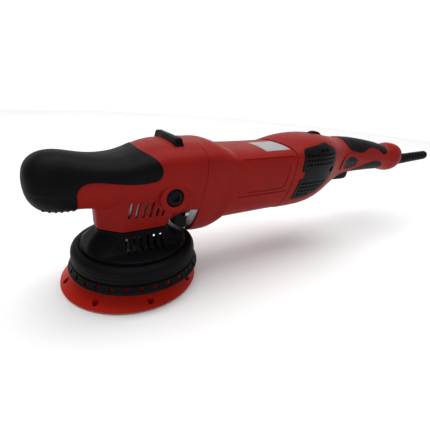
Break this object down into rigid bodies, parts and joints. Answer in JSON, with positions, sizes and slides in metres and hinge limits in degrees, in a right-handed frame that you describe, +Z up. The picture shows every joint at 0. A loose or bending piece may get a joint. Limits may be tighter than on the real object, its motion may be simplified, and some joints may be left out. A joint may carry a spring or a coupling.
{
  "type": "dual action polisher",
  "caption": "Dual action car polisher with an orbiting backing plate under a bevel-gear head, a knob front grip and an in-line rear handle with trigger.",
  "frame": {"origin": "on the main spindle's axis, in the plane of the backing plate's hook face", "axes": "+Z up along the spindle, +X back along the motor to the rear handle, -Y to the user's left"},
  "size_m": [0.5479, 0.1274, 0.1341],
  "materials": {
    "red_plastic": "satin moulded plastic, deep red",
    "plate_urethane": "smooth flexible urethane, orange red",
    "hook_fabric": "dense moulded hook pile",
    "black_rubber": "matte black overmoulded rubber",
    "black_plastic": "matte black plastic",
    "cast_aluminium": "fine cast and machined aluminium",
    "steel": "turned and ground steel",
    "lamination_steel": "stacked electrical steel",
    "copper_wire": "varnished copper winding",
    "brass_part": "stamped brass",
    "carbon": "pressed carbon",
    "silver_label": "blank silver foil label",
    "board_green": "potted circuit board"
  },
  "bodies": {
    "housing": {"spindle_bearing_lower": "steel", "spindle_bearing_upper": "steel", "bearing_plate": "cast_aluminium", "lid_screws": "steel", "gear_case": "cast_aluminium", "flange_screws": "steel", "shroud": "black_rubber", "shroud_clamp": "steel", "head_cover": "red_plastic", "front_grip": "black_rubber", "rest_bar": "black_rubber", "side_plug_left": "black_plastic", "side_plug_right": "black_plastic", "motor_housing": "red_plastic", "rating_label": "silver_label", "motor_bearing_front": "steel", "motor_bearing_rear": "steel", "field_stack": "lamination_steel", "field_coils": "copper_wire", "fan_baffle": "black_plastic", "bearing_bridge": "black_plastic", "brushes": "carbon", "handle_screws": "steel", "brush_holders": "brass_part", "handle_left": "red_plastic", "handle_right": "red_plastic", "vent_grille_left": "black_plastic", "vent_grille_right": "black_plastic", "upper_inlay_left": "black_rubber", "upper_inlay_right": "black_rubber", "lower_inlay_left": "black_rubber", "lower_inlay_right": "black_rubber", "trigger_pin": "steel", "switch_body": "black_plastic", "speed_controller": "board_green", "cord_clamp": "black_plastic", "clamp_screws": "steel", "strain_relief": "black_rubber", "air_duct": "black_plastic"},
    "pad": {"hook_face": "hook_fabric", "backing_plate": "plate_urethane", "plate_hub": "black_plastic", "plate_washer": "steel", "plate_screw": "steel", "pad_spindle": "steel"},
    "drive": {"main_spindle": "steel", "crown_gear": "steel", "eccentric_weight": "steel", "pad_bearing_lower": "steel", "pad_bearing_upper": "steel"},
    "armature": {"motor_shaft": "steel", "pinion": "steel", "pinion_nut": "steel", "armature_core": "lamination_steel", "armature_windings": "copper_wire", "commutator": "brass_part", "cooling_fan": "black_plastic"},
    "trigger": {"trigger": "black_plastic"},
    "lock_button": {"lock_button": "black_plastic"},
    "speed_dial": {"speed_dial": "black_plastic"}
  },
  "joints": [
    {"name": "spindle_spin", "type": "hinge", "parent": "housing", "child": "drive", "pos_m": [0, 0, 0.06], "axis": [0, 0, 1], "continuous": true},
    {"name": "pad_spin", "type": "hinge", "parent": "drive", "child": "pad", "pos_m": [-0.0031, 0.00683, 0.02], "axis": [0, 0, 1], "continuous": true},
    {"name": "armature_spin", "type": "hinge", "parent": "housing", "child": "armature", "pos_m": [0.1, 0, 0.09], "axis": [1, 0, 0], "continuous": true},
    {"name": "trigger_pull", "type": "hinge", "parent": "housing", "child": "trigger", "pos_m": [0.253, 0, 0.083], "axis": [0, -1, 0], "range_deg": [0, 7], "stiffness_Nm_per_rad": 1, "springref_deg": -8.59},
    {"name": "lock_button_press", "type": "slide", "parent": "housing", "child": "lock_button", "axis": [0, 1, 0], "range_m": [0, 0.003], "stiffness_N_per_m": 400, "springref_m": -0.003},
    {"name": "speed_dial_turn", "type": "hinge", "parent": "housing", "child": "speed_dial", "pos_m": [0.209, 0, 0.118], "axis": [0, 1, 0], "range_deg": [-140, 140]}
  ],
  "couplings": [
    {"joint": "armature_spin", "follows": "spindle_spin", "ratio": 3}
  ]
}
